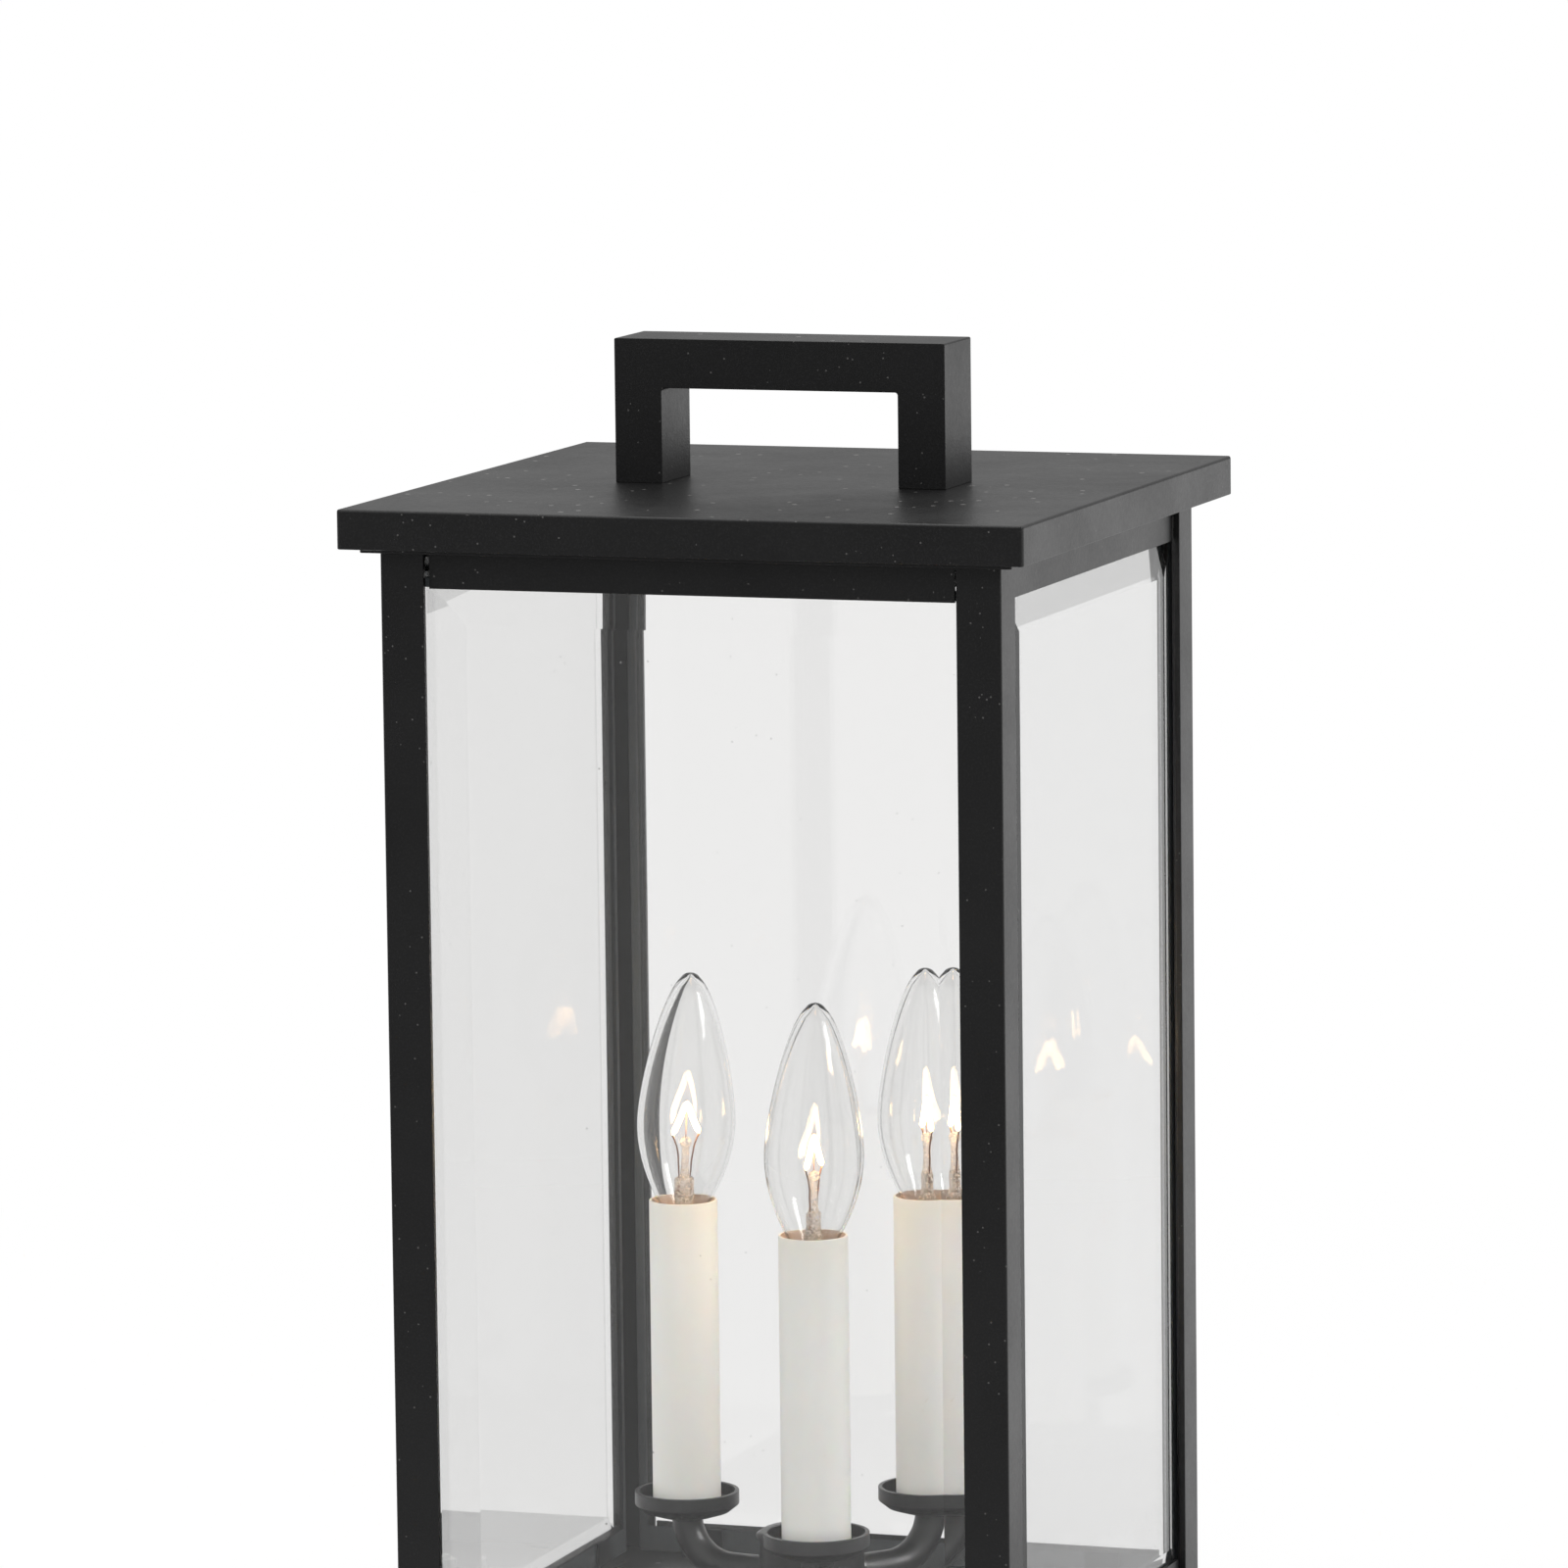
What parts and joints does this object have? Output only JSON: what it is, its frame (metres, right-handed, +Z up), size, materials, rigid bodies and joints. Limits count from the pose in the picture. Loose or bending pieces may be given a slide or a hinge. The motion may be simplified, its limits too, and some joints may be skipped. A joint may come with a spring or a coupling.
{
  "type": "pier lantern",
  "caption": "Square lantern with bevelled panes between angle posts, a lift-off roof with a bar handle, electric candles on a bent-arm cluster, and a plinth on a pier plate.",
  "frame": {"origin": "centre of the underside of the pier plate, which is the bottom of the bounding box", "axes": "+Z up, -Y towards the front pane, +X towards the right pane; the thumb screws are at the back, +Y"},
  "size_m": [0.225, 0.225, 0.4549],
  "materials": {
    "black_paint": "black powder coat with a fine texture",
    "pane_glass": "clear, with a ground bevel",
    "lamp_glass": "clear blown glass",
    "stem_glass": "clear pressed glass",
    "filament_wire": "glowing wire on plated leads",
    "brass": "bright",
    "zinc_steel": "zinc plated",
    "socket_moulding": "dark phenolic",
    "candle_sleeve": "off-white",
    "lead_insulation": "white insulation",
    "earth_green": "green"
  },
  "bodies": {
    "body": {"front_left_post": "black_paint", "front_right_post": "black_paint", "back_right_post": "black_paint", "back_left_post": "black_paint", "top_frame": "black_paint", "bottom_frame": "black_paint", "front_pane": "pane_glass", "right_pane": "pane_glass", "back_pane": "pane_glass", "left_pane": "pane_glass", "upper_clips": "black_paint", "lower_clips": "black_paint", "base_pan": "black_paint", "plinth": "black_paint", "pier_plate": "zinc_steel", "plinth_screws": "black_paint", "base_screws": "zinc_steel", "base_nuts": "zinc_steel", "ground_screw": "earth_green", "centre_stem": "zinc_steel", "stem_nuts": "zinc_steel", "hub_body": "black_paint", "hub_cap": "black_paint", "hub_finial": "black_paint", "front_arm": "black_paint", "right_arm": "black_paint", "left_arm": "black_paint", "front_cup": "black_paint", "right_cup": "black_paint", "left_cup": "black_paint", "front_socket": "socket_moulding", "right_socket": "socket_moulding", "left_socket": "socket_moulding", "front_socket_shell": "brass", "right_socket_shell": "brass", "left_socket_shell": "brass", "socket_straps": "zinc_steel", "arm_nuts": "zinc_steel", "wiring": "lead_insulation", "front_sleeve": "candle_sleeve", "right_sleeve": "candle_sleeve", "left_sleeve": "candle_sleeve"},
    "roof": {"roof_pan": "black_paint", "soffit_plate": "black_paint", "handle": "black_paint", "handle_bolts": "zinc_steel"},
    "front_lamp": {"front_lamp_glass": "lamp_glass", "front_lamp_base": "brass", "front_lamp_stem": "stem_glass", "front_lamp_filament": "filament_wire"},
    "right_lamp": {"right_lamp_glass": "lamp_glass", "right_lamp_base": "brass", "right_lamp_stem": "stem_glass", "right_lamp_filament": "filament_wire"},
    "left_lamp": {"left_lamp_glass": "lamp_glass", "left_lamp_base": "brass", "left_lamp_stem": "stem_glass", "left_lamp_filament": "filament_wire"},
    "left_thumb": {"left_thumb_screw": "black_paint"},
    "right_thumb": {"right_thumb_screw": "black_paint"}
  },
  "joints": [
    {"name": "roof_lift", "type": "slide", "parent": "body", "child": "roof", "axis": [0, 0, 1], "range_m": [0, 0.15]},
    {"name": "front_lamp_lift", "type": "slide", "parent": "body", "child": "front_lamp", "axis": [0, 0, 1], "range_m": [0, 0.045]},
    {"name": "right_lamp_lift", "type": "slide", "parent": "body", "child": "right_lamp", "axis": [0, 0, 1], "range_m": [0, 0.045]},
    {"name": "left_lamp_lift", "type": "slide", "parent": "body", "child": "left_lamp", "axis": [0, 0, 1], "range_m": [0, 0.045]},
    {"name": "left_thumb_screw_out", "type": "slide", "parent": "body", "child": "left_thumb", "axis": [0, 1, 0], "range_m": [0, 0.01]},
    {"name": "right_thumb_screw_out", "type": "slide", "parent": "body", "child": "right_thumb", "axis": [0, 1, 0], "range_m": [0, 0.01]}
  ]
}
